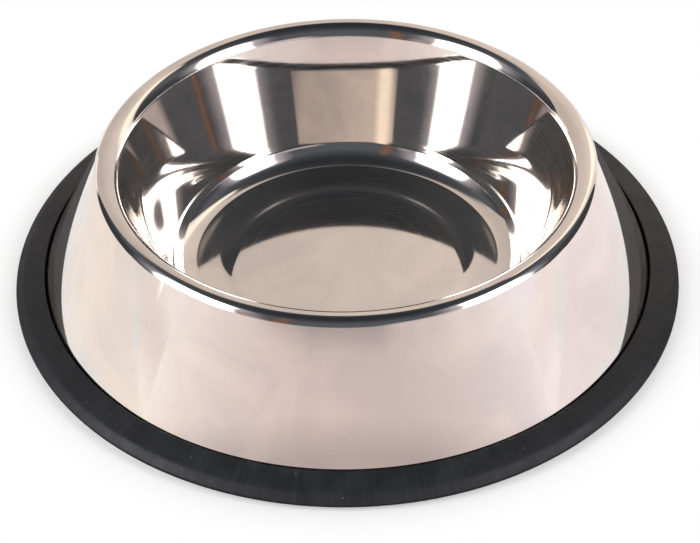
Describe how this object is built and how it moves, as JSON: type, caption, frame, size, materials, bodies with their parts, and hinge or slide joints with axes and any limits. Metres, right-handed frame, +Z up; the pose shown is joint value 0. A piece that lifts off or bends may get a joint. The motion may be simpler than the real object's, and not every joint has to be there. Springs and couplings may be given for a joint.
{
  "type": "dog bowl",
  "caption": "Non-tip stainless steel dog bowl: a shallow mirror-polished pan with a rolled rim on a flared conical skirt, standing on a black rubber grip ring.",
  "frame": {"origin": "centre of the bowl on the surface that it stands on, the plane of the rubber ring's sole", "axes": "+Z up along the bowl's axis of revolution; +X and +Y lie in the surface and are equivalent"},
  "size_m": [0.25, 0.25, 0.0532],
  "materials": {
    "bowl_steel": "mirror-polished stainless steel",
    "skirt_steel": "mirror-polished stainless steel",
    "ring_rubber": "moulded black rubber, dull"
  },
  "bodies": {
    "root": {"inner_bowl": "bowl_steel", "outer_skirt": "skirt_steel", "rubber_ring": "ring_rubber"}
  },
  "joints": []
}
